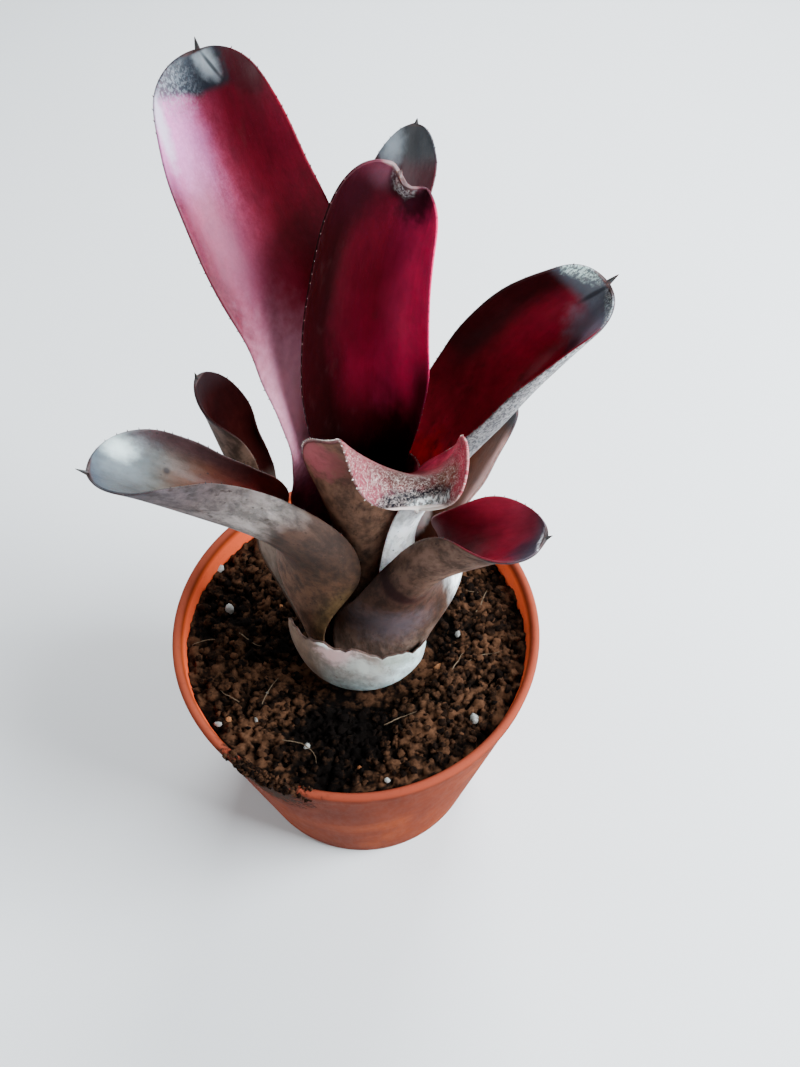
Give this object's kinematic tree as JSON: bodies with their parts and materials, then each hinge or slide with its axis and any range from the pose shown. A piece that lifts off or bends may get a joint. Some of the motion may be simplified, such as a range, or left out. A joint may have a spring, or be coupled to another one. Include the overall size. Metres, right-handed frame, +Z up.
{
  "type": "potted neoregelia bromeliad",
  "caption": "Small potted bromeliad: strap leaves with spiny margins and dark tips, sheaths nested into a bulbous base, standing in soil in a thin round tapered pot.",
  "frame": {"origin": "centre of the flat underside of the pot, on the pot's own axis", "axes": "+Z up out of the pot, -Y towards the side of the recurved front leaf and the old sheath, +X towards the side of the leaf that reaches out to the right"},
  "size_m": [0.109, 0.1232, 0.2394],
  "materials": {
    "pot_terracotta_plastic": "matt terracotta-coloured moulded plastic, soiled in places",
    "potting_soil": "crumbly dark peat and bark mix with white perlite",
    "stem_tissue": "matt pale stem tissue",
    "old_sheath_skin": "dull scurfy brown and pinkish grey dry leaf base",
    "leaf_skin": "satin crimson leaf with dark silvery scurfed tip, brown-grey scurfed underside"
  },
  "bodies": {
    "root": {"pot": "pot_terracotta_plastic", "soil": "potting_soil", "stem": "stem_tissue", "sheath_old_front": "old_sheath_skin", "leaf_centre": "leaf_skin", "leaf_front_recurved": "leaf_skin", "leaf_back_left": "leaf_skin", "leaf_right": "leaf_skin", "leaf_back": "leaf_skin", "leaf_right_front": "leaf_skin", "leaf_left_level": "leaf_skin", "leaf_left_small": "leaf_skin", "leaf_right_back": "leaf_skin"}
  },
  "joints": []
}
